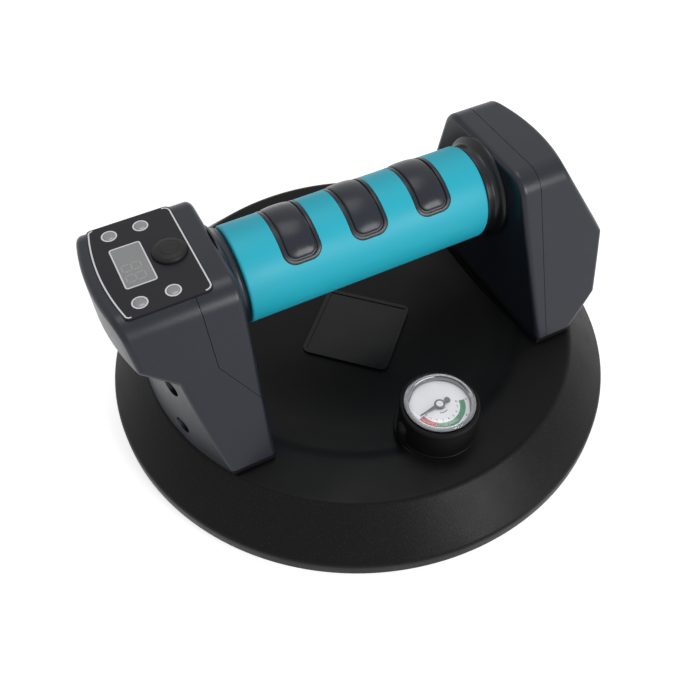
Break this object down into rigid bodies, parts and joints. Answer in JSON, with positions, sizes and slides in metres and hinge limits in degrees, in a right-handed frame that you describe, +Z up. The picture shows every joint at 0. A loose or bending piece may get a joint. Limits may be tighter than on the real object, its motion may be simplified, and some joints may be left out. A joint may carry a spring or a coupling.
{
  "type": "powered suction lifter",
  "caption": "Powered suction lifter: a dished round base with a rubber seal, end housings with a padded grip between, a control head and a vacuum gauge.",
  "frame": {"origin": "centre of the round base, in the plane that the seal presses on", "axes": "+X along the grip from the control head to the pump housing, -Y towards the gauge and the user, +Z up"},
  "size_m": [0.203, 0.203, 0.0933],
  "materials": {
    "base_black": "fine grain",
    "seal_rubber": "smooth moulded",
    "badge_black": "satin",
    "foam": "open-cell foam",
    "housing_slate": "satin",
    "gasket_rubber": "matt",
    "frame_steel": "zinc plated",
    "screw_steel": "blackened",
    "panel_film": "satin film",
    "window_clear": "clear acrylic",
    "display_grey": "matt",
    "lamp_clear": "frosted",
    "button_grey": "satin",
    "silicone": "matt",
    "board_green": "solder mask",
    "cell_wrap": "shrink wrap",
    "inner_plastic": "matt",
    "core_aluminium": "drawn tube",
    "sleeve_teal": "soft satin",
    "pad_slate": "matt",
    "boot_rubber": "matt",
    "case_black": "black",
    "dial_white": "printed white",
    "lens_clear": "clear",
    "brass": "turned",
    "needle_grey": "dark grey",
    "motor_steel": "plain",
    "crank_steel": "ground",
    "pump_plastic": "matt",
    "rod_plastic": "natural",
    "diaphragm_rubber": "matt",
    "hose_rubber": "silicone"
  },
  "bodies": {
    "lifter": {"base_plate": "base_black", "seal_ring": "seal_rubber", "badge_plate": "badge_black", "port_filter": "foam", "left_inner_shell": "housing_slate", "left_outer_shell": "housing_slate", "right_inner_shell": "housing_slate", "right_outer_shell": "housing_slate", "left_foot_gasket": "gasket_rubber", "right_foot_gasket": "gasket_rubber", "left_frame": "frame_steel", "right_frame": "frame_steel", "base_screws": "screw_steel", "left_shell_screws": "screw_steel", "right_shell_screws": "screw_steel", "control_panel": "panel_film", "lcd_window": "window_clear", "lcd_module": "display_grey", "indicator_lamps": "lamp_clear", "button_dome": "silicone", "control_board": "board_green", "board_screws": "screw_steel", "button_switch": "inner_plastic", "battery_cells": "cell_wrap", "battery_holder": "inner_plastic", "charging_socket": "motor_steel", "grip_core": "core_aluminium", "grip_pad_left": "pad_slate", "grip_pad_middle": "pad_slate", "grip_pad_right": "pad_slate", "grip_sleeve": "sleeve_teal", "left_collar": "housing_slate", "right_collar": "housing_slate", "gauge_boot": "boot_rubber", "gauge_case": "case_black", "gauge_dial": "dial_white", "gauge_lens": "lens_clear", "gauge_stem": "brass", "gauge_nut": "brass", "bourdon_tube": "brass", "pump_body": "pump_plastic", "pump_cover": "pump_plastic", "pump_motor": "motor_steel", "diaphragm": "diaphragm_rubber", "valve_head": "pump_plastic", "port_elbow": "pump_plastic", "vacuum_hose": "hose_rubber", "pump_bracket": "core_aluminium"},
    "button": {"power_button": "button_grey"},
    "needle": {"gauge_needle": "needle_grey"},
    "crank": {"pump_crank": "crank_steel"},
    "rod": {"pump_rod": "rod_plastic"}
  },
  "joints": [
    {"name": "power_button_press", "type": "slide", "parent": "lifter", "child": "button", "axis": [0, 0, -1], "range_m": [0, 0.001], "stiffness_N_per_m": 1500, "springref_m": -0.0004, "deforming": ["button_dome"]},
    {"name": "gauge_needle_turn", "type": "hinge", "parent": "lifter", "child": "needle", "pos_m": [0.002, -0.0605, 0.036], "axis": [0, 0, 1], "range_deg": [0, 162]},
    {"name": "pump_crank_spin", "type": "hinge", "parent": "lifter", "child": "crank", "pos_m": [0.0755, 0, 0.05], "axis": [0, 1, 0], "continuous": true},
    {"name": "pump_rod_stroke", "type": "slide", "parent": "lifter", "child": "rod", "axis": [0, 0, 1], "range_m": [-0.0008, 0.0008], "deforming": ["diaphragm"]}
  ]
}
